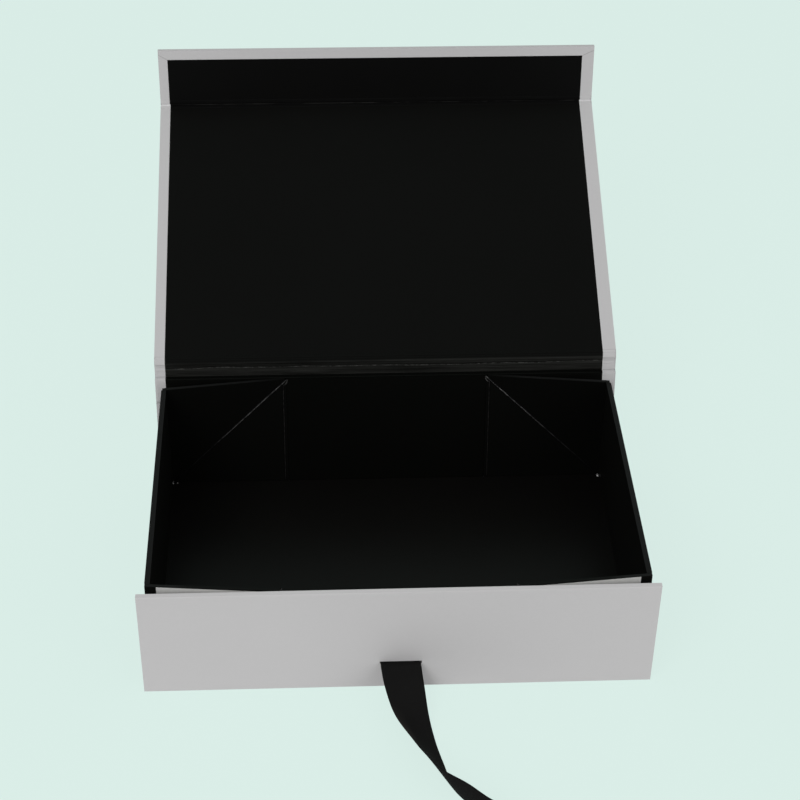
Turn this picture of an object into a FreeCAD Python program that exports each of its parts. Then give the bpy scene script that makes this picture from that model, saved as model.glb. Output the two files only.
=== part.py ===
import FreeCAD, Part
import os
from math import radians, degrees, sin, cos, tan, acos, sqrt

os.makedirs("parts", exist_ok=True)
V = FreeCAD.Vector

# Collapsible gift box, standing open on its base. Millimetres, +Z up.
# The origin is the middle of the base's underside, +X is to the right of the
# front panel and +Y points to the back, where the lid is hinged.

# Cover
cover_width = 240.0
cover_depth = 156.0
front_height = 62.5
lid_length = 164.2
flap_height = 32.9
front_lean = 3.0
back_lean = 7.5
lid_angle = 25.5
flap_angle = 84.8

# Sheets and boards
paper = 0.3
board = 1.8
base_board = 2.0
lining = 0.3
inner_sheet = 0.2
gusset = 1.5

# Tray
tray_width = 232.4
tray_height = 64.3
wall = 2.5
wall_paper = 0.25

# Hinge band between spine and lid
spine_top = 64.4
kink = 71.8
band_upper = 1.0

# Clearances
crease_gap = 0.05
floor_gap = 0.1
fold_gap = 0.3
seam = 0.2
foot = 0.4
wall_foot = 0.1
spine_rim = 0.4
corner_inset_low = 0.9
corner_inset_top = 2.9
gusset_edge = 0.1
gusset_foot = 0.6
gusset_tip = 0.4
front_drop = 1.6
outer_crease = 1.2
base_gap = 0.45

# Borders and linings
base_border = 3.0
border_left = 5.4
border_right = 6.9
flap_left = 5.0
flap_right = 6.5
flap_border = 5.3
crease_board = 2.8
crease_lining = 0.8
kink_board = 1.3
kink_lining = 0.4
kink_gap = 0.1
turn_in = 12.0

# Closure and ribbon
magnet_radius = 5.0
magnet_thick = 1.5
plate_radius = 6.0
plate_thick = 1.0
closure_x = 62.0
closure_drop = 16.5
plate_drop = 17.5
plate_skin = 0.2
pocket_gap = 0.1
slit_z = 16.0
slit_x = 0.85
slit_width = 19.8
slit_height = 1.6
ribbon_width = 19.0
ribbon_thick = 0.3
groove_depth = 0.5
groove_height = 24.0
ribbon_end_gap = 1.0

# Tape liners
liner_thick = 0.15
liner_height = 14.0
liner_corner = 5.4
liner_diagonal = 5.0
liner_top = 0.5
liner_slant = 1.9

half_width = cover_width / 2
half_depth = cover_depth / 2
wall_in = tray_width / 2 - wall
wall_out = tray_width / 2
floor_z = paper + base_board + lining
hinge_z = floor_z + floor_gap
wing = tray_height - hinge_z
panel_in = paper + board + inner_sheet
tray_in = panel_in + gusset
back_dir = 90.0 - back_lean
front_dir = 90.0 + front_lean


def box(x0, x1, u0, u1, w0, w1):
    return Part.makeBox(x1 - x0, u1 - u0, w1 - w0, V(x0, u0, w0))


def prism_x(points, x0, x1):
    """Solid along X from a profile given as (u, w) points."""
    vecs = [V(x0, u, w) for u, w in points]
    face = Part.Face(Part.makePolygon(vecs + [vecs[0]]))
    return face.extrude(V(x1 - x0, 0, 0))


def prism_w(points, w0, w1):
    """Solid along the thickness from an outline given as (x, u) points."""
    vecs = [V(x, u, w0) for x, u in points]
    face = Part.Face(Part.makePolygon(vecs + [vecs[0]]))
    return face.extrude(V(0, 0, w1 - w0))


def disc(x, u, w0, w1, radius):
    return Part.makeCylinder(radius, w1 - w0, V(x, u, w0), V(0, 0, 1))


def stand(shape, y, z, angle):
    """Panel frame (x, u, w) to the box: u runs at angle from +Y, w points inward."""
    out = shape.copy()
    out.rotate(V(0, 0, 0), V(1, 0, 0), angle)
    out.translate(V(0, y, z))
    return out


def stand_front(shape):
    out = shape.copy()
    out.rotate(V(0, 0, 0), V(0, 0, 1), 180)
    out.rotate(V(0, 0, 0), V(1, 0, 0), front_dir - 180)
    out.translate(V(0, -half_depth, 0))
    return out


def stand_back(shape):
    return stand(shape, half_depth, 0, back_dir)


def flip_x(shape):
    return shape.mirror(V(0, 0, 0), V(1, 0, 0))


def save(name, shape):
    solid = shape.Solids[0] if len(shape.Solids) == 1 else shape
    solid.exportStep("parts/" + name + ".step")


# Base: board, light wrap below, dark lining above
wrap_end = half_depth - panel_in - base_gap
board_end = wrap_end - paper
shell = box(-half_width, half_width, -wrap_end, wrap_end, 0, floor_z)
core = box(-half_width + paper, half_width - paper, -board_end, board_end, paper,
           paper + base_board)
top = box(-half_width + base_border, half_width - base_border, -board_end, board_end,
          paper + base_board, floor_z)
save("base_wrap", shell.cut(core).cut(top))
save("base_board", core)
save("base_lining", top)

# Panels of the tray's front and back, in their own frame
def panel_u(lean):
    """Height along a leaning panel at which its inner face meets the tray floor."""
    return (hinge_z - tray_in * sin(radians(lean))) / cos(radians(lean))


def fold_start(lean):
    """Diagonal fold that closes a corner when its panel leans by this angle."""
    side = 0.0
    for _ in range(60):
        side = 1 - cos(radians(lean)) * sqrt(1 - side * side)
    return degrees(acos(1 - 2 * side))


def tray_panel(lean, drop):
    u0 = panel_u(lean)
    x_in = wall_in - wing + drop
    return box(-x_in + seam, x_in - seam, u0 + seam, u0 + wing - drop, panel_in, tray_in)


def lower_gusset(lean, drop):
    u0 = panel_u(lean)
    x_in = wall_in - wing + drop
    gap = fold_gap * sqrt(2)
    points = [(x_in, u0 + seam), (wall_in - seam - gap, u0 + seam),
              (x_in, u0 + wing - drop - gap)]
    return prism_w(points, panel_in, tray_in)


def fold_diagonal(shape, lean):
    u0 = panel_u(lean)
    out = shape.copy()
    out.rotate(V(wall_in, u0, tray_in + floor_gap), V(1, -1, 0), fold_start(lean))
    return out


def upper_gusset(lean, drop):
    u0 = panel_u(lean)
    gap = fold_gap * sqrt(2)
    edge = wall_out - gusset_edge
    points = [(edge, u0 + gusset_foot), (edge, u0 + wing),
              (wall_in - wing + drop + gap + gusset_tip, u0 + wing - drop),
              (wall_in + gusset_edge, u0 + gusset_foot)]
    return fold_diagonal(prism_w(points, panel_in, tray_in), lean)


def tape_liner(lean):
    u0 = panel_u(lean)
    top = u0 + wing - liner_top
    tip = top - liner_slant
    low = top - liner_height
    x_low = wall_in - (low - u0)
    x_tip = wall_in - (tip - u0)
    points = [(wall_out - liner_corner, low), (wall_out - liner_corner, top),
              (x_tip + liner_diagonal, tip), (x_low + liner_diagonal, low)]
    return fold_diagonal(prism_w(points, panel_in - liner_thick, panel_in), lean)


# Back wall: spine board, its wrap, inner sheet, tray panel and gussets
face_w = paper + board
back_top = spine_top - spine_rim
core = box(-half_width + paper, half_width - paper, foot, back_top, paper, face_w)
outer = box(-half_width, half_width, crease_gap, spine_top - crease_gap, 0, paper)
edge = box(-half_width, -half_width + paper, crease_gap, back_top, paper, face_w)
turned = box(-half_width, -half_width + turn_in, foot, back_top, face_w, panel_in)
sheet = box(-half_width + turn_in, half_width - turn_in, foot, back_top, face_w, panel_in)
save("back_wrap", stand_back(outer.fuse([edge, flip_x(edge), turned, flip_x(turned)])))
save("back_board", stand_back(core))
save("back_lining", stand_back(sheet))
save("tray_back_panel", stand_back(tray_panel(back_lean, 0.0)))
save("back_right_lower_gusset", stand_back(lower_gusset(back_lean, 0.0)))
save("back_left_lower_gusset", stand_back(flip_x(lower_gusset(back_lean, 0.0))))
save("back_right_upper_gusset", stand_back(upper_gusset(back_lean, 0.0)))
save("back_left_upper_gusset", stand_back(flip_x(upper_gusset(back_lean, 0.0))))
save("back_right_tape_liner", stand_back(tape_liner(back_lean)))
save("back_left_tape_liner", stand_back(flip_x(tape_liner(back_lean))))

# Hinge band: two strips of paper between the spine and the lid
lower_band = box(-half_width, half_width, spine_top + crease_gap,
                 kink - band_upper - crease_gap, 0, paper)
upper_band = box(-half_width, half_width, kink - band_upper + crease_gap, kink - kink_gap,
                 0, paper)
save("hinge_band_lower", stand_back(lower_band))
save("hinge_band_upper", stand_back(upper_band))

# Lid and flap: board, wrap with turned-in borders, dark lining
lid_y = half_depth + kink * cos(radians(back_dir))
lid_z = kink * sin(radians(back_dir))
crease_y = lid_y + lid_length * cos(radians(lid_angle)) - paper * sin(radians(lid_angle))
crease_z = lid_z + lid_length * sin(radians(lid_angle)) + paper * cos(radians(lid_angle))
flap_y = crease_y + paper * sin(radians(flap_angle))
flap_z = crease_z - paper * cos(radians(flap_angle))


def stand_lid(shape):
    return stand(shape, lid_y, lid_z, lid_angle)


def stand_flap(shape):
    return stand(shape, flap_y, flap_z, flap_angle)


top_w = face_w + lining
lid_end = lid_length - crease_board
lid_fold = lid_length - crease_lining
lid_sheet = [(kink_lining, paper), (kink_lining + lining, paper), (kink_board, face_w),
             (lid_end, face_w), (lid_fold - lining, paper), (lid_fold, paper),
             (lid_fold, paper + lining), (lid_end + lining / 2, top_w), (kink_board, top_w),
             (kink_lining, paper + lining)]
lid_core = box(-half_width + paper, half_width - paper, kink_board, lid_end, paper, face_w)
lid_cover = box(-half_width, half_width, kink_gap, lid_length - crease_gap, 0, paper)
edge = box(-half_width, -half_width + paper, kink_board, lid_end, paper, face_w)
left = prism_x(lid_sheet, -half_width, -half_width + border_left)
right = prism_x(lid_sheet, half_width - border_right, half_width)
save("lid_board", stand_lid(lid_core))
save("lid_wrap", stand_lid(lid_cover.fuse([edge, flip_x(edge), left, right])))
inner = prism_x(lid_sheet, -half_width + border_left, half_width - border_right)
save("lid_lining", stand_lid(inner))

flap_start = crease_board
flap_fold = crease_lining
flap_sheet = [(flap_fold, paper), (flap_fold + lining, paper), (flap_start, face_w),
              (flap_height, face_w), (flap_height, top_w), (flap_start - lining / 2, top_w),
              (flap_fold, paper + lining)]
flap_core = box(-half_width + paper, half_width - paper, flap_start, flap_height - paper,
                paper, face_w)
flap_cover = box(-half_width, half_width, crease_gap, flap_height, 0, paper)
edge = box(-half_width, -half_width + paper, flap_start, flap_height, paper, face_w)
left = prism_x(flap_sheet, -half_width, -half_width + flap_left)
right = prism_x(flap_sheet, half_width - flap_right, half_width)
far_edge = box(-half_width, half_width, flap_height - paper, flap_height, paper, face_w)
far_border = box(-half_width, half_width, flap_height - flap_border, flap_height, face_w, top_w)
magnets = [disc(s * closure_x, closure_drop, face_w - magnet_thick, face_w, magnet_radius)
           for s in (-1, 1)]
pockets = [disc(s * closure_x, closure_drop, face_w - magnet_thick, face_w,
                magnet_radius + pocket_gap) for s in (-1, 1)]
inner = prism_x(flap_sheet, -half_width + flap_left, half_width - flap_right)
inner = inner.cut(far_border)
save("flap_board", stand_flap(flap_core.cut(pockets[0]).cut(pockets[1])))
save("flap_wrap", stand_flap(flap_cover.fuse([edge, flip_x(edge), left, right, far_edge,
                                              far_border])))
save("flap_lining", stand_flap(inner))
save("flap_magnet_left", stand_flap(magnets[0]))
save("flap_magnet_right", stand_flap(magnets[1]))

# Front panel with the ribbon slit, closure plates and the tray's front
slit_u = slit_z / cos(radians(front_lean))
slot = box(-slit_x - slit_width / 2, -slit_x + slit_width / 2, slit_u - slit_height / 2,
           slit_u + slit_height / 2, -1, panel_in)
groove = box(-slit_x - slit_width / 2, -slit_x + slit_width / 2, slit_u - slit_height / 2,
             slit_u + groove_height, face_w - groove_depth, face_w)
core = box(-half_width + paper, half_width - paper, foot, front_height - paper, paper, face_w)
plate_u = front_height - plate_drop
plate_w = paper + plate_skin
plates = [disc(s * closure_x, plate_u, plate_w, plate_w + plate_thick, plate_radius)
          for s in (-1, 1)]
holes = [disc(s * closure_x, plate_u, paper, plate_w + plate_thick, plate_radius + pocket_gap)
         for s in (-1, 1)]
outer = box(-half_width, half_width, crease_gap, front_height, 0, paper)
edge = box(-half_width, -half_width + paper, crease_gap, front_height, paper, face_w)
top_edge = box(-half_width, half_width, front_height - paper, front_height, paper, face_w)
turned = box(-half_width, -half_width + turn_in, foot, front_height, face_w, panel_in)
turned_top = box(-half_width, half_width, front_height - turn_in, front_height, face_w,
                 panel_in)
sheet = box(-half_width + turn_in, half_width - turn_in, foot, front_height - turn_in,
            face_w, panel_in)
save("front_wrap", stand_front(outer.fuse([edge, flip_x(edge), top_edge, turned, flip_x(turned),
                                           turned_top]).cut(slot)))
save("front_board", stand_front(core.cut(slot).cut(groove).cut(holes[0]).cut(holes[1])))
save("front_lining", stand_front(sheet))
save("closure_plate_left", stand_front(plates[1]))
save("closure_plate_right", stand_front(plates[0]))
save("tray_front_panel", stand_front(tray_panel(front_lean, front_drop)))
save("front_left_lower_gusset", stand_front(lower_gusset(front_lean, front_drop)))
save("front_right_lower_gusset", stand_front(flip_x(lower_gusset(front_lean, front_drop))))
save("front_left_upper_gusset", stand_front(upper_gusset(front_lean, front_drop)))
save("front_right_upper_gusset", stand_front(flip_x(upper_gusset(front_lean, front_drop))))
save("front_left_tape_liner", stand_front(tape_liner(front_lean)))
save("front_right_tape_liner", stand_front(flip_x(tape_liner(front_lean))))

# Side walls: board with a dark wrap over its two faces and top edge
def corner_y(lean):
    """How far the tray's inner face at the floor lies inside the cover's foot line."""
    return tray_in * cos(radians(lean)) - panel_u(lean) * sin(radians(lean))


wall_low = hinge_z + wall_foot
rise = (corner_inset_top - corner_inset_low) / (tray_height - wall_low)


def wall_slab(x0, x1, z1, trim):
    """Slab between the corners, shorter than the wall by trim at both ends."""
    low = corner_inset_low + trim
    high = low + rise * (z1 - wall_low)
    front_y = -half_depth + corner_y(front_lean)
    back_y = half_depth - corner_y(back_lean)
    points = [(front_y + low, wall_low), (back_y - low, wall_low), (back_y - high, z1),
              (front_y + high, z1)]
    vecs = [V(x0, y, z) for y, z in points]
    face = Part.Face(Part.makePolygon(vecs + [vecs[0]]))
    return face.extrude(V(x1 - x0, 0, 0))


core = wall_slab(wall_in + wall_paper, wall_out - wall_paper, tray_height - wall_paper,
                 wall_paper)
skin = wall_slab(wall_in, wall_out, tray_height, 0).cut(core)
save("right_wall_board", core)
save("right_wall_wrap", skin)
save("left_wall_board", flip_x(core))
save("left_wall_wrap", flip_x(skin))

# Ribbon: held in the groove behind the front board, out through the slit, then down to
# the table, over on its side and flat again, as a free end lies.
# Each station is its place right of the middle, out from the panel and up from the table,
# and how far the ribbon has turned over.
stations = [(0.85, -0.5, 16.0, 0), (0.85, 3.0, 16.0, 0), (2.1, 13.9, 14.0, 9),
            (4.8, 26.8, 8.8, 25), (8.9, 40.2, 6.8, 42), (13.2, 53.7, 7.9, 53),
            (18.5, 66.8, 9.0, 67), (27.5, 78.0, 10.0, 79), (35.5, 89.7, 9.7, 99),
            (45.9, 98.7, 7.2, 132), (55.4, 106.1, 0.5, 178), (70.0, 114.0, 0.4, 180),
            (88.0, 121.5, 0.4, 180), (107.0, 127.0, 0.4, 180)]
face_y = -half_depth - slit_z * tan(radians(front_lean))
route = [V(x, face_y - out, z) for x, out, z, turn in stations]


def section(i):
    ahead = route[min(i + 1, len(route) - 1)]
    behind = route[max(i - 1, 0)]
    along = (ahead - behind).normalize()
    level = V(0, 0, 1).cross(along).normalize()
    upright = along.cross(level)
    turn = radians(stations[i][3])
    across = level * cos(turn) - upright * sin(turn)
    half = across * (ribbon_width / 2)
    rise = across.cross(along) * (ribbon_thick / 2)
    corners = [route[i] - half - rise, route[i] + half - rise, route[i] + half + rise,
               route[i] - half + rise]
    return Part.makePolygon(corners + [corners[0]])


held_x = [-slit_x - ribbon_width / 2, -slit_x + ribbon_width / 2]
groove_low = face_w - (groove_depth + ribbon_thick) / 2
groove_high = face_w - (groove_depth - ribbon_thick) / 2
tab = box(held_x[0], held_x[1], slit_u - ribbon_thick / 2,
          slit_u + groove_height - ribbon_end_gap, groove_low, groove_high)
neck = box(held_x[0], held_x[1], slit_u - ribbon_thick / 2, slit_u + ribbon_thick / 2, 0,
           groove_high)
free = Part.makeLoft([section(i) for i in range(len(route))], True, True)
save("ribbon", free.fuse([stand_front(tab.fuse(neck))]).removeSplitter())
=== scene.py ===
import math

import bmesh
import bpy
from mathutils import Matrix, Vector, noise


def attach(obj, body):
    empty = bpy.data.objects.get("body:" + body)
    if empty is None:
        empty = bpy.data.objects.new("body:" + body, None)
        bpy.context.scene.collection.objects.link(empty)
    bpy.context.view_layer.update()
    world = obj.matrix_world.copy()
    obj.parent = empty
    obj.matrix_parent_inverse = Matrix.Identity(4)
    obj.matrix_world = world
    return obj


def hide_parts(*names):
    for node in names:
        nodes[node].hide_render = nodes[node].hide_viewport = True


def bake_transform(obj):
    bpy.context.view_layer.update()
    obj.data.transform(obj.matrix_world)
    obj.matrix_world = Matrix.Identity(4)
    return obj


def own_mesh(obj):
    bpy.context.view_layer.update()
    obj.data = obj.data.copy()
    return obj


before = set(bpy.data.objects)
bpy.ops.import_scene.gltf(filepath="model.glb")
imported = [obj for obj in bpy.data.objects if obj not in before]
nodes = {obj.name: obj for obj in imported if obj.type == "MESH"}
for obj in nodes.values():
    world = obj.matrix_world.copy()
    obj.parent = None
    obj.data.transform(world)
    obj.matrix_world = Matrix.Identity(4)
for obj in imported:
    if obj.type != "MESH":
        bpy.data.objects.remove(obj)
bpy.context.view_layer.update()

scene = bpy.context.scene


# Camera, at the photograph's angle
photo_px = 800.0
sensor_mm = 36.0
focal_px = 2000.0
shift_px = -16.194
elevation = 0.632936
azimuth = -0.051094
roll = 0.012581
distance = 0.940231
aim = Vector((0.002864, 0.0, 0.120150))
away = Vector((math.sin(azimuth) * math.cos(elevation),
               -math.cos(azimuth) * math.cos(elevation), math.sin(elevation)))
level = Vector((0, 0, 1)).cross(away).normalized()
upright = away.cross(level)
right = level * math.cos(roll) + upright * math.sin(roll)
top = upright * math.cos(roll) - level * math.sin(roll)
lens = bpy.data.cameras.new("camera")
lens.sensor_width = sensor_mm
lens.lens = focal_px / photo_px * sensor_mm
lens.shift_y = shift_px / photo_px
lens.clip_start = 0.01
camera = bpy.data.objects.new("camera", lens)
camera.matrix_world = Matrix.Translation(aim + away * distance) @ Matrix(
    (right, top, away)).transposed().to_4x4()
scene.collection.objects.link(camera)
scene.camera = camera
scene.view_settings.view_transform = "Standard"


# Node helpers
def material(name, color, rough, metal=0.0):
    mat = bpy.data.materials.new(name)
    mat.use_nodes = True
    shader = mat.node_tree.nodes["Principled BSDF"]
    shader.inputs["Base Color"].default_value = (*color, 1.0)
    shader.inputs["Roughness"].default_value = rough
    shader.inputs["Metallic"].default_value = metal
    return mat


class Net:
    """Adds nodes to a material's tree and links them in one call."""

    def __init__(self, mat):
        self.tree = mat.node_tree
        self.shader = self.tree.nodes["Principled BSDF"]
        self.place = self.add("ShaderNodeTexCoord").outputs["Object"]

    def add(self, kind, inputs=None, **settings):
        node = self.tree.nodes.new(kind)
        for key, value in settings.items():
            setattr(node, key, value)
        for key, value in (inputs or {}).items():
            self.feed(node.inputs[key], value)
        return node

    def feed(self, socket, value):
        """Links a socket to another one, or gives it a constant value."""
        if isinstance(value, bpy.types.NodeSocket):
            self.tree.links.new(value, socket)
        else:
            socket.default_value = value

    def stretched(self, scale, vector=None):
        return self.add("ShaderNodeMapping", {
            "Vector": self.place if vector is None else vector, "Scale": scale}).outputs[0]

    def noise(self, scale, detail=2.0, rough=0.5, vector=None):
        return self.add("ShaderNodeTexNoise", {
            "Vector": self.place if vector is None else vector, "Scale": scale,
            "Detail": detail, "Roughness": rough}).outputs["Fac"]

    def streaks(self, scale, detail, rough):
        """Noise drawn out differently along the three axes."""
        return self.noise(1.0, detail, rough, self.stretched(scale))

    def math(self, operation, a, b=0.0, clamp=False):
        return self.add("ShaderNodeMath", {0: a, 1: b}, operation=operation,
                        use_clamp=clamp).outputs[0]

    def times(self, a, b):
        return self.math("MULTIPLY", a, b)

    def apart(self, a, b):
        """Distance between two values."""
        return self.math("ABSOLUTE", self.math("SUBTRACT", a, b))

    def span(self, value, low, high, out_low=0.0, out_high=1.0):
        return self.add("ShaderNodeMapRange", {
            "Value": value, "From Min": low, "From Max": high, "To Min": out_low,
            "To Max": out_high}).outputs["Result"]

    def mix(self, factor, a, b):
        node = self.tree.nodes.new("ShaderNodeMix")
        node.data_type = "RGBA"
        for socket, value in ((0, factor), (6, a), (7, b)):
            self.feed(node.inputs[socket], value)
        return node.outputs[2]

    def bump(self, height, strength, depth):
        return self.add("ShaderNodeBump", {
            "Height": height, "Strength": strength, "Distance": depth}).outputs["Normal"]

    def height(self):
        return self.add("ShaderNodeSeparateXYZ", {"Vector": self.place}).outputs["Z"]

    def strip(self):
        """A strip's own map, and a point's share of the way across and along it."""
        uv = self.add("ShaderNodeUVMap", uv_map="strip").outputs["UV"]
        part = self.add("ShaderNodeSeparateXYZ", {"Vector": uv})
        return uv, part.outputs["X"], part.outputs["Y"]

    def out(self, socket, value):
        self.tree.links.new(value, self.shader.inputs[socket])

    def gloss(self, level):
        self.shader.inputs["Specular IOR Level"].default_value = level


def grey(value, warm=0.0):
    return (value + warm, value, value - warm, 1.0)


# Materials
def light_paper(name, top_edge=None):
    """Fine matt paper. With a top edge given, painted light makes its foot lighter and a
    painted highlight runs along that edge.
    """
    mat = material(name, (0.53, 0.526, 0.529), 0.6)
    net = Net(mat)
    cloud = net.noise(7.0, 2.0, 0.5)
    grain = net.noise(1500.0, 3.0, 0.6)
    tone = net.mix(net.span(cloud, 0.3, 0.7), (0.524, 0.519, 0.522, 1),
                   (0.548, 0.543, 0.546, 1))
    fleck = net.span(net.noise(650.0, 2.0, 0.5), 0.25, 0.75, 0.0, 0.25)
    tone = net.mix(fleck, tone, (0.50, 0.495, 0.498, 1))
    if top_edge is not None:
        height = net.height()
        highlight_depth = 0.0012
        # Painted bounce light: lighter towards the foot
        foot = net.span(height, 0.0, top_edge, 0.4, 0.0)
        tone = net.mix(foot, tone, (0.59, 0.585, 0.588, 1))
        # Painted highlight along the rounded top edge
        pale_mark = net.span(height, top_edge - highlight_depth, top_edge, 0.0, 0.5)
        tone = net.mix(pale_mark, tone, (0.60, 0.595, 0.597, 1))
    net.out("Base Color", tone)
    net.out("Roughness", net.span(grain, 0.3, 0.7, 0.55, 0.66))
    net.out("Normal", net.bump(grain, 0.10, 0.00006))
    net.gloss(0.25)
    return mat


def dark_paper(name, low, high, rough, tint, gloss=0.045, top_edge=None, edge_tone=0.02):
    """Dark lining paper from tone low to high, with a paler rim at a given top edge."""
    mat = material(name, (low, low, low), rough)
    net = Net(mat)
    cloud = net.noise(14.0, 3.0, 0.55)
    grain = net.noise(1600.0, 3.0, 0.6)
    speck = net.span(net.noise(520.0, 1.0, 0.5), 0.80, 0.84, 0.0, 0.5)
    ends = [tuple(value + part for part in tint) + (1.0,) for value in (low, high)]
    tone = net.mix(net.span(cloud, 0.3, 0.7), *ends)
    tone = net.mix(speck, tone, grey(high * 3.5))
    if top_edge is not None:
        height = net.height()
        along = net.noise(60.0, 2.0, 0.6)
        rim_low, rim_high = top_edge - 0.00022, top_edge - 0.00004
        rim = net.times(net.span(height, rim_low, rim_high),
                        net.span(along, 0.3, 0.7, 0.55, 1.0))
        tone = net.mix(rim, tone, grey(edge_tone))
    net.out("Base Color", tone)
    net.out("Roughness", net.span(grain, 0.3, 0.7, rough - 0.06, rough + 0.06))
    net.out("Normal", net.bump(grain, 0.12, 0.00005))
    net.gloss(gloss)
    return mat


def greyboard():
    mat = material("greyboard", (0.36, 0.33, 0.29), 0.9)
    net = Net(mat)
    fibre = net.noise(900.0, 4.0, 0.65, net.stretched((1.0, 1.0, 4.0)))
    net.out("Base Color", net.mix(net.span(fibre, 0.3, 0.7), (0.30, 0.275, 0.24, 1),
                                  (0.42, 0.39, 0.345, 1)))
    net.out("Normal", net.bump(fibre, 0.4, 0.0001))
    return mat


def release_liner():
    mat = material("release_liner", (0.55, 0.55, 0.535), 0.4)
    net = Net(mat)
    grain = net.noise(700.0, 2.0, 0.5)
    net.out("Base Color", net.mix(grain, (0.50, 0.50, 0.485, 1), (0.57, 0.57, 0.555, 1)))
    net.out("Roughness", net.span(grain, 0.3, 0.7, 0.34, 0.46))
    return mat


def steel():
    mat = material("steel", (0.55, 0.55, 0.55), 0.35, 1.0)
    net = Net(mat)
    grain = net.noise(1200.0, 2.0, 0.5)
    net.out("Roughness", net.span(grain, 0.3, 0.7, 0.28, 0.45))
    return mat


def creased(name, base, mark, fade_power, dashes, width=0.07):
    """Dark paper with a pale, broken line along the middle of a strip: worn paper on the
    upright folds, a painted highlight on the diagonal folds and corner ears.
    """
    mat = material(name, (base, base, base), 0.6)
    net = Net(mat)
    _, across, along = net.strip()
    wander = net.span(net.noise(110.0, 3.0, 0.6), 0.3, 0.7, -0.06, 0.06)
    off = net.math("ABSOLUTE", net.math("ADD", net.math("SUBTRACT", across, 0.5), wander))
    line = net.span(off, width * 0.5, width * 2.0, 1.0, 0.0)
    gaps = net.span(net.noise(dashes, 3.0, 0.7), 0.40, 0.58, 0.15, 1.0)
    fade = net.math("POWER", along, fade_power, clamp=True)
    pale_mark = net.times(net.times(line, fade), gaps)
    net.out("Base Color", net.mix(pale_mark, grey(base), grey(mark, 0.002)))
    net.gloss(0.03)
    return mat


def crumpled():
    """Lining paper over the hinge band, greyed by folding in streaks along the box."""
    mat = material("crumpled_lining", (0.008, 0.008, 0.0075), 0.5)
    net = Net(mat)
    coarse = net.streaks((16.0, 700.0, 700.0), 4.0, 0.62)
    fine = net.streaks((120.0, 2600.0, 2600.0), 3.0, 0.7)
    _, _, height = net.strip()
    on_band = net.span(height, 0.66, 0.74, 1.0, 0.0)
    tone = net.times(net.span(coarse, 0.38, 0.62, 0.22, 1.0),
                     net.span(fine, 0.3, 0.7, 0.75, 1.2))
    tone = net.times(tone, on_band)

    # A pale broken ridge of worn paper wanders along the band, with painted shadow in a dark
    # line over it
    ridge_place = net.span(net.streaks((14.0, 0.0, 0.0), 2.0, 0.5), 0.3, 0.7, 0.33, 0.49)
    off = net.math("SUBTRACT", height, ridge_place)
    ridge = net.span(net.math("ABSOLUTE", off), 0.008, 0.03, 1.0, 0.0)
    dashes = net.span(net.streaks((420.0, 900.0, 900.0), 3.0, 0.75), 0.46, 0.6)
    ridge_shadow = net.span(net.apart(off, 0.04), 0.01, 0.035, 0.75, 0.0)
    tone = net.times(tone, net.math("SUBTRACT", 1.0, ridge_shadow))
    shade = net.mix(tone, (0.0027, 0.0026, 0.0023, 1), (0.0195, 0.0198, 0.0182, 1))
    shade = net.mix(net.times(ridge, dashes), shade, (0.060, 0.0605, 0.057, 1))
    net.out("Base Color", shade)
    net.out("Normal", net.bump(tone, 0.3, 0.0002))
    net.gloss(0.04)
    return mat


open_tint = (0.0002, -0.00012, -0.0003)
flap_tint = (0.0002, -0.0001, -0.0001)
floor_tint = (0.0002, -0.0001, -0.0004)
wall_tint = (0.0003, -0.0001, -0.0004)
deep_tint = (0.0, 0.0001, -0.0003)
front_top = 0.0625
wrap_paper = light_paper("wrap_paper")
front_paper = light_paper("front_paper", front_top)
lid_dark = dark_paper("lid_lining_paper", 0.0022, 0.0026, 0.40, open_tint, gloss=0.043)
flap_dark = dark_paper("flap_lining_paper", 0.0021, 0.0026, 0.40, flap_tint, gloss=0.040)
floor_dark = dark_paper("floor_paper", 0.0031, 0.0037, 0.36, floor_tint, gloss=0.072)
tray_dark = dark_paper("tray_paper", 0.0022, 0.0026, 0.42, deep_tint)
wall_dark = dark_paper("wall_paper", 0.0035, 0.0041, 0.42, wall_tint, gloss=0.036,
                       top_edge=0.0643, edge_tone=0.0095)
gusset_dark = dark_paper("gusset_paper", 0.0027, 0.0032, 0.42, deep_tint, gloss=0.045,
                         top_edge=0.0640, edge_tone=0.010)
spine_dark = dark_paper("spine_lining_paper", 0.0022, 0.0027, 0.42, deep_tint)
board_paper = greyboard()
liner_paper = release_liner()
steel_face = steel()

corners = [(end, hand) for end in ("back", "front") for hand in ("left", "right")]
finishes = {
    wrap_paper: ["base_wrap", "back_wrap", "hinge_band_lower", "hinge_band_upper",
                 "lid_wrap", "flap_wrap"],
    front_paper: ["front_wrap"],
    lid_dark: ["lid_lining"],
    flap_dark: ["flap_lining"],
    floor_dark: ["base_lining"],
    spine_dark: ["back_lining", "front_lining"],
    tray_dark: ["tray_back_panel", "tray_front_panel"],
    wall_dark: ["left_wall_wrap", "right_wall_wrap"],
    gusset_dark: [f"{end}_{hand}_{part}_gusset" for end, hand in corners
                  for part in ("lower", "upper")],
    board_paper: ["base_board", "back_board", "front_board", "lid_board", "flap_board",
                  "left_wall_board", "right_wall_board"],
    liner_paper: [f"{end}_{hand}_tape_liner" for end, hand in corners],
    steel_face: ["flap_magnet_left", "flap_magnet_right", "closure_plate_left",
                 "closure_plate_right"],
}
for mat, names in finishes.items():
    for name in names:
        data = nodes[name].data
        data.materials.clear()
        data.materials.append(mat)


# Mesh helpers
def add_object(name, mesh, mats):
    """Object from a bmesh, which is freed."""
    data = bpy.data.meshes.new(name)
    mesh.to_mesh(data)
    mesh.free()
    for mat in mats:
        data.materials.append(mat)
    obj = bpy.data.objects.new(name, data)
    scene.collection.objects.link(obj)
    return obj


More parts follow.
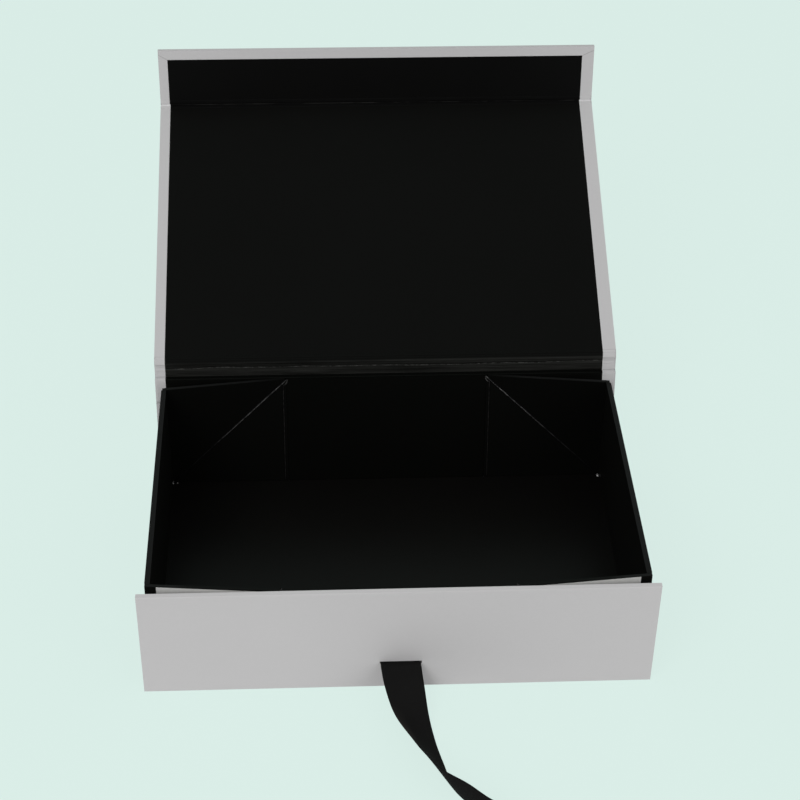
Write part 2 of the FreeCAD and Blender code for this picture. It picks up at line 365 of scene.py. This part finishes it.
def paper_mesh(name, rows, thick, mats, skin=None):
    """Closed sheet from rows of points seen from its front; skin picks a face's material."""
    mesh = bmesh.new()
    layer = mesh.loops.layers.uv.new("strip")
    last_r, last_c = len(rows) - 1, len(rows[0]) - 1
    front, rear = [], []
    for r in range(last_r + 1):
        up, down = rows[min(r + 1, last_r)], rows[max(r - 1, 0)]
        line = []
        for c in range(last_c + 1):
            before, after = rows[r][max(c - 1, 0)], rows[r][min(c + 1, last_c)]
            normal = (after - before).cross(up[c] - down[c]).normalized()
            line.append(mesh.verts.new(rows[r][c] - normal * thick))
        front.append([mesh.verts.new(p) for p in rows[r]])
        rear.append(line)

    def quad(a, b, c, d, index, spots):
        face = mesh.faces.new((a, b, c, d))
        face.smooth = True
        face.material_index = index
        for loop, (i, j) in zip(face.loops, spots):
            loop[layer].uv = (i / last_c, j / last_r)

    rear_index = len(mats) - 1
    for r in range(last_r):
        for c in range(last_c):
            index = skin(r, c) if skin else 0
            spots = ((c, r), (c + 1, r), (c + 1, r + 1), (c, r + 1))
            quad(front[r][c], front[r][c + 1], front[r + 1][c + 1], front[r + 1][c], index,
                 spots)
            quad(rear[r][c], rear[r + 1][c], rear[r + 1][c + 1], rear[r][c + 1],
                 rear_index, (spots[0], spots[3], spots[2], spots[1]))
    for r in range(last_r):
        for c, turn in ((0, 1), (last_c, -1)):
            ring = (front[r][c], front[r + 1][c], rear[r + 1][c], rear[r][c])[::turn]
            quad(*ring, rear_index, ((c, r),) * 4)
    for c in range(last_c):
        for r, turn in ((0, -1), (last_r, 1)):
            ring = (front[r][c], front[r][c + 1], rear[r][c + 1], rear[r][c])[::turn]
            quad(*ring, skin(min(r, last_r - 1), c) if skin else 0, ((c, r),) * 4)
    bmesh.ops.recalc_face_normals(mesh, faces=mesh.faces)
    return add_object(name, mesh, mats)


def resample(points, count):
    """Evenly spaced points along a polyline."""
    marks = [0.0]
    for a, b in zip(points, points[1:]):
        marks.append(marks[-1] + (b - a).length)
    out = []
    for k in range(count):
        d = marks[-1] * k / (count - 1)
        i = max(j for j in range(len(points) - 1) if marks[j] <= d + 1e-12)
        f = (d - marks[i]) / (marks[i + 1] - marks[i])
        out.append(points[i].lerp(points[i + 1], min(f, 1.0)))
    return out


def arch(q):
    """1 in the middle of a strip and 0 at its edges, for q from -0.5 to 0.5."""
    return 1 - (2 * q) ** 2


def shares(count):
    """Shares of the way across a strip, from -0.5 to 0.5 in count steps."""
    return [c / count - 0.5 for c in range(count + 1)]


# Places on the cover's panels: x across, u up the panel, w out of its inner face
half_width = 0.120
half_depth = 0.078
back_angle = math.radians(82.5)
lid_angle = math.radians(25.5)
kink = 0.0718


def on_back(x, u, w):
    return Vector((x, half_depth + u * math.cos(back_angle) - w * math.sin(back_angle),
                   u * math.sin(back_angle) + w * math.cos(back_angle)))


def on_lid(x, u, w):
    corner = on_back(x, kink, 0.0)
    return corner + Vector((0, u * math.cos(lid_angle) - w * math.sin(lid_angle),
                            u * math.sin(lid_angle) + w * math.cos(lid_angle)))


# The dark lining's edges across the box, and places for a sheet's columns
lining_left = -0.1146
lining_right = 0.1131
column_step = 0.0012
edge_columns = (-0.1150, 0.1135)


def sheet_columns():
    """Places across the box, closer where the light border meets the dark lining."""
    xs = {-half_width, lining_left, lining_right, half_width, *edge_columns}
    x = -half_width
    while x < half_width:
        xs.add(round(x, 6))
        x += column_step
    return sorted(xs)


columns = sheet_columns()
dark, light = 0, 1


def lining_skin(r, c):
    middle = (columns[c] + columns[c + 1]) / 2
    return dark if lining_left < middle < lining_right else light


def sheet_rows(profile, count, wobble):
    """Rows of points from one edge of a profile to the other, each moved by wobble(x, t)."""
    lines = []
    for x in columns:
        line = resample([panel(x, u, w) for panel, u, w in profile], count)
        for r, point in enumerate(line):
            point += wobble(x, r / (count - 1))
        lines.append(line)
    return [[line[r] for line in lines] for r in range(count)]


# Hinge paper: from the spine's top over the band to the lid's lining
hinge_profile = [(on_back, 0.06442, 0.00031), (on_back, 0.0660, 0.00033),
                 (on_back, 0.0700, 0.00033), (on_back, 0.0712, 0.00050),
                 (on_back, 0.0717, 0.00095), (on_lid, 0.00050, 0.00170),
                 (on_lid, 0.00115, 0.00222), (on_lid, 0.0018, 0.00244),
                 (on_lid, 0.0030, 0.00247)]
hinge_thick = 0.00026
crumple_height = 0.00018
crumple_end = 0.66


def crumple(x, t):
    amount = crumple_height * max(0.0, math.sin(math.pi * min(t / crumple_end, 1.0)))
    soft = noise.noise(Vector((x * 26, t * 11.0, 1.7)))
    ridge = 1 - 2 * abs(noise.noise(Vector((x * 8, t * 6.0, 8.1))))
    return Vector((0, -1, 0.2)) * amount * (0.9 * soft + 0.6 * ridge)


hinge = paper_mesh("hinge_paper", sheet_rows(hinge_profile, 34, crumple), hinge_thick,
                   [crumpled(), wrap_paper], lining_skin)
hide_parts("hinge_band_lower", "hinge_band_upper")
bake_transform(hinge)

# Spine lining: down the inside of the spine, over its top edge. Beside the tray's back
# panel it reaches lower, along the corner's diagonal fold.
spine_thick = 0.00004
lining_face = 0.00237
lining_high = 0.0637
lining_low = 0.0634
lining_lowest = 0.050
panel_half_mm = 52.5
diagonal_mm = 117.1
spine_edge = [(0.0638, 0.00237), (0.06400, 0.00234), (0.06409, 0.0022), (0.06412, 0.0016),
              (0.06418, 0.0010), (0.06430, 0.0006), (0.06444, 0.00034)]


def spine_path(x):
    span_mm = abs(x) * 1000
    low = lining_low
    if span_mm >= panel_half_mm:
        low = min(lining_low, max(lining_lowest, (diagonal_mm - span_mm) / 1000))
    face = [on_back(x, low + (lining_high - low) * k / 8, lining_face) for k in range(8)]
    return face + [on_back(x, u, w) for u, w in spine_edge]


spine_lines = [spine_path(x) for x in columns]
spine = paper_mesh("spine_lining", [list(row) for row in zip(*spine_lines)], spine_thick,
                   [spine_dark, wrap_paper], lining_skin)
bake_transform(spine)

# Papered ends of the side walls, where the corner creases are
wall_foot = 0.0028
wall_top = 0.0643
wall_in = 0.1137
wall_out = 0.1162
fold_radius = 0.0007
end_steps = 12
# Each end's direction, the board's end at its foot and top, and how far the paper reaches
wall_ends = {"front": (-1, -0.07344, -0.07144, -0.07414),
             "back": (1, 0.07362, 0.07162, 0.07414)}


def wall_end_ring(hand_sign, end_sign, wall_y, reach):
    """Outline of a papered end at one height, rounded where the paper turns outside."""
    out, inner = hand_sign * wall_out, hand_sign * wall_in
    ring = [(inner, wall_y), (inner, reach)]
    for k in range(6):
        a = math.pi / 2 * k / 5
        ring.append((out - hand_sign * fold_radius * (1 - math.sin(a)),
                     reach - end_sign * fold_radius * (1 - math.cos(a))))
    ring.append((out, wall_y))
    return ring


for hand, hand_sign in (("left", -1), ("right", 1)):
    for end, (end_sign, depth_low, depth_top, reach) in wall_ends.items():
        mesh = bmesh.new()
        rings = []
        for r in range(end_steps + 1):
            z = wall_foot + (wall_top - wall_foot) * r / end_steps
            wall_y = depth_low + (depth_top - depth_low) * r / end_steps
            rings.append([mesh.verts.new(Vector((x, y, z)))
                          for x, y in wall_end_ring(hand_sign, end_sign, wall_y, reach)])
        for low, high in zip(rings, rings[1:]):
            for i in range(len(low)):
                j = (i + 1) % len(low)
                mesh.faces.new((low[i], low[j], high[j], high[i]))
        mesh.faces.new(rings[0])
        mesh.faces.new(rings[-1])
        bmesh.ops.recalc_face_normals(mesh, faces=mesh.faces)
        piece = add_object(f"{end}_{hand}_corner_paper", mesh, [wall_dark])
        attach(piece, f"{hand}_wall")

# Crease papers over the tray's folds
floor_line = 0.0027
wing = wall_top - floor_line
tray_in = 0.0038
lean = {"front": math.radians(3.0), "back": math.radians(7.5)}
drop = {"front": 0.0016, "back": 0.0}
shift = {"front": 0.0, "back": 0.0016}
gusset_rise = {"front": math.radians(4.0), "back": math.radians(9.0)}
diagonal_thick = 0.00008
diagonal_gap = 0.00012
diagonal_bulge = 0.0002
diagonal_wave = 0.00005
foot_clear = 0.0008
top_clear = 0.0004
crease_thick = 0.00005
crease_gap = 0.00006
crease_bulge = 0.00010


def on_panel(end, x, u, w):
    """x across, u up the front or back wall, w in from its outer face."""
    sign = -1 if end == "front" else 1
    angle = lean[end]
    return Vector((x, sign * (half_depth + u * math.sin(angle) - w * math.cos(angle)),
                   u * math.cos(angle) + w * math.sin(angle)))


def panel_foot(end):
    return (floor_line - tray_in * math.sin(lean[end])) / math.cos(lean[end])


def diagonal_rows(end, low, high, across):
    """Points over a corner's diagonal fold, rising with the upper gusset on one side."""
    wide, gusset_wide = 0.0015, 0.0017
    rows = []
    for r in range(61):
        middle = low.lerp(high, r / 60)
        row = []
        for q in shares(8):
            flat = middle + across * q * wide
            lift = diagonal_gap + diagonal_bulge * arch(q)
            lift += diagonal_wave * noise.noise(Vector((middle.x * 300, q * 4, 2.0)))
            tilt = max(0.0, q) * gusset_wide * math.tan(gusset_rise[end])
            row.append(on_panel(end, flat.x, flat.y, tray_in + lift + tilt))
        rows.append(row)
    facing = (rows[0][1] - rows[0][0]).cross(rows[1][0] - rows[0][0]).y
    if facing * (-1 if end == "back" else 1) < 0:
        rows = [row[::-1] for row in rows]
    return rows


def upright_rows(end, x, foot):
    """Points over an upright fold beside the tray's panel."""
    wide, clear = 0.0010, 0.0006
    rows = []
    for r in range(49):
        u = foot + clear + (wing - drop[end] - shift[end] - 2 * clear) * r / 48
        row = [on_panel(end, x + q * wide, u, tray_in + (crease_gap + crease_bulge * arch(q)))
               for q in shares(6)]
        rows.append(row if end == "back" else row[::-1])
    return rows


def ear_rows(end, hand_sign, top_x, foot):
    """Points over the top corner of an upright fold, bowed and narrowing, which carries a
    painted highlight.
    """
    below_top, length, widest, bowed, foot_out, slant = (
        0.0036, 0.0034, 0.0014, 0.0006, 0.0012, 0.0016)
    rows = []
    for r in range(15):
        t = r / 14
        u = foot + wing - below_top + length * t
        bow = bowed * math.sin(math.pi * t)
        wide = widest * (0.45 + 0.55 * math.sin(math.pi * min(1.0, t + 0.15)))
        row = []
        for q in shares(6):
            lift = crease_gap + crease_bulge * arch(q) * math.sin(math.pi * (t * 0.8 + 0.1))
            x = hand_sign * (top_x + foot_out - slant * t - bow) + q * wide
            row.append(on_panel(end, x, u, tray_in + lift))
        rows.append(row)
    return rows


# The diagonal folds' pale line is a painted highlight of the ridge, brightest at the top. The
# corner ears' line is a painted highlight too, and the upright folds' line is worn paper.
diagonal_mark = creased("diagonal_crease", 0.0025, 0.20, fade_power=1.8, dashes=200.0,
                        width=0.11)
upright_mark = creased("upright_crease", 0.0025, 0.036, fade_power=0.05, dashes=520.0)
ear_mark = creased("corner_ear", 0.0028, 0.085, fade_power=0.05, dashes=700.0, width=0.16)
for end, hand in corners:
    hand_sign = -1 if hand == "left" else 1
    foot = panel_foot(end)
    top_x = wall_in - wing + drop[end]
    low = Vector((hand_sign * (wall_in - foot_clear), foot + foot_clear))
    high = Vector((hand_sign * top_x, foot + wing - drop[end] - top_clear))
    along = (high - low).normalized()
    across = Vector((along.y, -along.x))
    if across.x * hand_sign < 0:
        across = -across
    strip = paper_mesh(f"{end}_{hand}_diagonal_crease", diagonal_rows(end, low, high, across),
                       diagonal_thick, [diagonal_mark])
    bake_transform(strip)

    strip = paper_mesh(f"{end}_{hand}_upright_crease",
                       upright_rows(end, hand_sign * (top_x + shift[end]), foot),
                       crease_thick, [upright_mark])
    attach(strip, f"{end}_wall")
    if end == "back":
        ear = paper_mesh(f"{end}_{hand}_corner_ear", ear_rows(end, hand_sign, top_x, foot),
                         crease_thick, [ear_mark])
        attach(ear, "back_wall")

# Painted light where the creases meet the floor: pale paper specks for light showing through
# pinholes, by place and radius
specks = [(-0.11355, 0.07425, 0.00045), (-0.11120, 0.07445, 0.00034),
          (0.11345, 0.07415, 0.00075)]
speck_flatness = 0.18
speck_rise = 0.12
floor_face = 0.00272
for k, (x, y, size) in enumerate(specks):
    mesh = bmesh.new()
    bmesh.ops.create_icosphere(mesh, subdivisions=2, radius=size)
    for v in mesh.verts:
        v.co *= 1 + 0.5 * noise.noise(v.co * 900 + Vector((k * 7.0, 0, 0)))
        v.co.z = v.co.z * speck_flatness
    speck = add_object(f"pinhole_light_speck_{k + 1}", mesh, [wrap_paper])
    speck.location = (x, y - size, floor_face + size * speck_rise)
    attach(speck, "base")
    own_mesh(speck)

# Fold paper between lid and flap
lid_length = 0.1642
flap_height = 0.0329
fold_in = 0.0003
flap_angle = math.radians(84.8)
flap_left = 0.0050
flap_right = 0.0065
flap_border = 0.0053
fold_thick = 0.00004
fold_height = 0.00005
fold_rows = 26
crease = on_lid(0, lid_length, fold_in)
flap_foot = crease + Vector((0, fold_in * math.sin(flap_angle),
                             -fold_in * math.cos(flap_angle)))


def on_flap(x, u, w):
    return flap_foot + Vector((x, u * math.cos(flap_angle) - w * math.sin(flap_angle),
                               u * math.sin(flap_angle) + w * math.cos(flap_angle)))


fold_profile = [(on_lid, 0.1606, 0.00244), (on_lid, 0.1620, 0.00244),
                (on_lid, 0.16262, 0.00240), (on_lid, 0.16292, 0.00226),
                (on_flap, 0.00128, 0.00226), (on_flap, 0.00158, 0.00240),
                (on_flap, 0.0022, 0.00244), (on_flap, 0.0036, 0.00244)]


def fold_skin(r, c):
    """Dark lining between the light borders, which differ on the flap's side."""
    if r < fold_rows * 0.5:
        return lining_skin(r, c)
    middle = (columns[c] + columns[c + 1]) / 2
    return dark if flap_left - half_width < middle < half_width - flap_right else light


def fold_wobble(x, t):
    amount = fold_height * math.sin(math.pi * t)
    return Vector((0, -1, 0.6)) * amount * (1 + noise.noise(Vector((x * 60, t * 4, 4.4))))


def fold_dark():
    """Flap lining with a painted highlight in a thin broken line along the fold."""
    mat = dark_paper("fold_lining_paper", 0.0021, 0.0026, 0.40, flap_tint, gloss=0.040)
    net = Net(mat)
    plain = net.shader.inputs["Base Color"].links[0].from_socket
    _, _, height = net.strip()
    line = net.span(net.apart(height, 0.46), 0.02, 0.06, 1.0, 0.0)
    pale_mark = net.span(net.streaks((70.0, 70.0, 70.0), 3.0, 0.7), 0.45, 0.62)
    net.out("Base Color", net.mix(net.times(line, pale_mark), plain, (0.020, 0.0202, 0.0188, 1)))
    return mat


def fold_light():
    """Wrap paper with a painted highlight in a band below the fold and painted shade in a
    thin line above it.
    """
    mat = light_paper("fold_wrap_paper")
    net = Net(mat)
    plain = net.shader.inputs["Base Color"].links[0].from_socket
    _, _, height = net.strip()
    painted_highlight = net.span(net.apart(height, 0.40), 0.06, 0.14, 1.0, 0.0)
    shaded = net.span(net.apart(height, 0.60), 0.01, 0.05, 0.6, 0.0)
    tone = net.mix(painted_highlight, plain, (0.70, 0.695, 0.70, 1))
    net.out("Base Color", net.mix(shaded, tone, (0.40, 0.395, 0.40, 1)))
    return mat


fold = paper_mesh("fold_paper", sheet_rows(fold_profile, fold_rows, fold_wobble), fold_thick,
                  [fold_dark(), fold_light()], fold_skin)
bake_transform(fold)

# Mitred corners of the turned-in borders on the flap
seam_line = material("mitre_shade", (0.30, 0.297, 0.298), 0.7)
seam_half = 0.00009
seam_face = 0.00241
seam_height = 0.00003
seam_wave = 0.00006
seam_thick = 0.00003
corner_clear = 0.0002
corner_short = 0.0004
flap_thick = 0.0024
for hand, hand_sign, border in (("left", -1, flap_left), ("right", 1, flap_right)):
    rows = []
    for r in range(13):
        t = r / 12
        x = hand_sign * (half_width - corner_clear - (border - corner_short) * t)
        u = flap_height - flap_thick - (flap_border - flap_thick) * t
        wave = seam_wave * noise.noise(Vector((t * 6, hand_sign, 0)))
        row = [on_flap(x + wave, u + q, seam_face + seam_height * (1 - abs(q) / seam_half))
               for q in (-seam_half, 0.0, seam_half)]
        rows.append(row if hand == "left" else row[::-1])
    mitre = paper_mesh(f"{hand}_mitre", rows, seam_thick, [seam_line])
    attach(mitre, "flap")


# Ribbon: out of the slit, down to the table, over on its side and flat again.
# Each station: mm right of the middle, out from the slit and up, and degrees turned.
ribbon_width = 0.019
ribbon_thick = 0.0003
ribbon_lowest = 0.0002
ribbon_curl = 0.0005
stations = [(0.85, -1.6, 16.0, 0), (0.85, 0.0, 16.0, 0), (1.0, 4.0, 15.9, 2),
            (2.1, 13.9, 14.0, 9), (4.8, 26.8, 8.8, 25), (8.9, 40.2, 6.8, 42),
            (13.2, 53.7, 7.9, 53), (18.5, 66.8, 9.0, 67), (27.5, 78.0, 10.0, 79),
            (35.5, 89.7, 9.7, 99), (45.9, 98.7, 7.2, 132), (55.4, 106.1, 0.6, 178),
            (70.0, 114.0, 0.4, 180),
            (88.0, 121.5, 0.4, 180), (107.0, 127.0, 0.4, 180)]
slit_height = 0.016
front_face = -half_depth - slit_height * math.tan(lean["front"])


def smooth(values, t):
    """Value at t along a list, on a Catmull-Rom spline."""
    last = len(values) - 1
    i = min(int(t), last - 1)
    f = t - i
    a, b = values[max(i - 1, 0)], values[i]
    c, d = values[i + 1], values[min(i + 2, last)]
    return 0.5 * (2 * b + (c - a) * f + (2 * a - 5 * b + 4 * c - d) * f * f
                  + (3 * b - a - 3 * c + d) * f ** 3)


def ribbon_mesh(steps, strands):
    line, turns = [], []
    for k in range(steps + 1):
        t = k / steps * (len(stations) - 1)
        x, out, z, turn = (smooth([s[i] for s in stations], t) for i in range(4))
        line.append(Vector((x, 0.0, z)) / 1000 + Vector((0, front_face - out / 1000, 0)))
        turns.append(math.radians(turn))
    mesh = bmesh.new()
    layer = mesh.loops.layers.uv.new("strip")
    grid = []
    for k, point in enumerate(line):
        along = (line[min(k + 1, steps)] - line[max(k - 1, 0)]).normalized()
        flat = Vector((0, 0, 1)).cross(along).normalized()
        rise = along.cross(flat)
        across = flat * math.cos(turns[k]) - rise * math.sin(turns[k])
        face = across.cross(along)
        row = []
        for q in shares(strands):
            curl = ribbon_curl * math.sin(turns[k]) * (1 - 4 * q * q)
            p = point + across * q * ribbon_width + face * curl
            p.z = max(p.z, ribbon_lowest)
            row.append(mesh.verts.new(p))
        grid.append(row)
    for k in range(steps):
        for i in range(strands):
            spots = ((i, k), (i + 1, k), (i + 1, k + 1), (i, k + 1))
            face = mesh.faces.new([grid[b][a] for a, b in spots])
            face.smooth = True
            for loop, (a, b) in zip(face.loops, spots):
                loop[layer].uv = (a / strands, b / steps)
    return mesh


def satin():
    """Black weave, with a soft painted highlight on one edge where the ribbon turns over."""
    mat = material("satin", (0.008, 0.008, 0.0078), 0.6)
    net = Net(mat)
    uv, across, along = net.strip()
    weft = net.add("ShaderNodeTexWave", {
        "Vector": net.stretched((60.0, 560.0, 1.0), uv), "Scale": 1.0, "Distortion": 0.2},
        bands_direction="Y").outputs["Fac"]
    thread = net.noise(900.0, 2.0, 0.5)
    tone = net.math("ADD", net.times(weft, 0.25), net.times(thread, 0.75))
    rim = net.span(across, 0.02, 0.30, 1.0, 0.0)
    spot = net.span(net.apart(along, 0.345), 0.0, 0.09, 1.0, 0.0)
    shade = net.mix(tone, grey(0.0082, 0.0001), grey(0.0122, 0.0002))
    net.out("Base Color", net.mix(net.times(rim, spot), shade, grey(0.026, 0.0015)))
    net.out("Normal", net.bump(weft, 0.2, 0.00006))
    net.gloss(0.004)
    return mat


ribbon = add_object("ribbon_strip", ribbon_mesh(260, 14), [satin()])
thicken = ribbon.modifiers.new("thickness", "SOLIDIFY")
thicken.thickness = ribbon_thick
thicken.offset = 0.0
bpy.context.view_layer.objects.active = ribbon
with bpy.context.temp_override(object=ribbon, active_object=ribbon):
    bpy.ops.object.modifier_apply(modifier="thickness")
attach(ribbon, "base")
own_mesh(ribbon)
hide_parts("ribbon")


# Table, light and world
table_half = 3.0
table_gap = 0.0002
mint = (0.7011, 0.8469, 0.7991, 1.0)


def shown_ray(tree):
    """1 for rays that show the backdrop: camera, glossy and transmission rays."""
    ray = tree.nodes.new("ShaderNodeLightPath")
    total = ray.outputs["Is Camera Ray"]
    for name in ("Is Glossy Ray", "Is Transmission Ray"):
        node = tree.nodes.new("ShaderNodeMath")
        node.operation = "MAXIMUM"
        tree.links.new(total, node.inputs[0])
        tree.links.new(ray.outputs[name], node.inputs[1])
        total = node.outputs[0]
    return total


def choose(tree, factor, first, second, target):
    """Leads first into target where factor is 0, and second where it is 1."""
    mixer = tree.nodes.new("ShaderNodeMixShader")
    tree.links.new(factor, mixer.inputs[0])
    tree.links.new(first.outputs[0], mixer.inputs[1])
    tree.links.new(second.outputs[0], mixer.inputs[2])
    tree.links.new(mixer.outputs[0], tree.nodes[target].inputs["Surface"])


def stage_material():
    """Neutral for the light it bounces, mint with a faint shadow where it is seen."""
    mat = material("table_paint", (0.93, 0.93, 0.93), 0.9)
    tree = mat.node_tree
    bounce = tree.nodes["Principled BSDF"]
    bounce.inputs["Specular IOR Level"].default_value = 0.0
    shaded = tree.nodes.new("ShaderNodeBsdfDiffuse")
    shaded.inputs["Color"].default_value = mint
    plain = tree.nodes.new("ShaderNodeEmission")
    plain.inputs["Color"].default_value = mint
    plain.inputs["Strength"].default_value = 1.026
    shown = tree.nodes.new("ShaderNodeMixShader")
    shown.inputs[0].default_value = 0.90
    tree.links.new(shaded.outputs[0], shown.inputs[1])
    tree.links.new(plain.outputs[0], shown.inputs[2])
    choose(tree, shown_ray(tree), bounce, shown, "Material Output")
    return mat


table_mesh = bpy.data.meshes.new("table_top")
table_mesh.from_pydata([(-table_half, -table_half, 0), (table_half, -table_half, 0),
                        (table_half, table_half, 0), (-table_half, table_half, 0)],
                       [], [(0, 1, 2, 3)])
table_mesh.materials.append(stage_material())
table = bpy.data.objects.new("table_top", table_mesh)
table.location.z = -table_gap
scene.collection.objects.link(table)

world = bpy.data.worlds.new("world")
scene.world = world
world.use_nodes = True
tree = world.node_tree
sky = tree.nodes["Background"]
sky.inputs["Color"].default_value = (1.0, 1.0, 1.0, 1.0)
sky.inputs["Strength"].default_value = 0.56
backdrop = tree.nodes.new("ShaderNodeBackground")
backdrop.inputs["Color"].default_value = mint
backdrop.inputs["Strength"].default_value = 1.0
choose(tree, shown_ray(tree), sky, backdrop, "World Output")


def area_lamp(name, place, target, size, power):
    data = bpy.data.lights.new(name, "AREA")
    data.shape = "SQUARE"
    data.size = size
    data.energy = power
    lamp = bpy.data.objects.new(name, data)
    lamp.location = place
    lamp.rotation_euler = (Vector(target) - Vector(place)).to_track_quat("-Z", "Y").to_euler()
    scene.collection.objects.link(lamp)


lamp_target = (0, 0, 0.05)
area_lamp("key", (-0.85, -1.4, 1.5), lamp_target, size=1.0, power=15.0)
area_lamp("fill", (1.0, -1.5, 0.85), lamp_target, size=1.2, power=4.4)
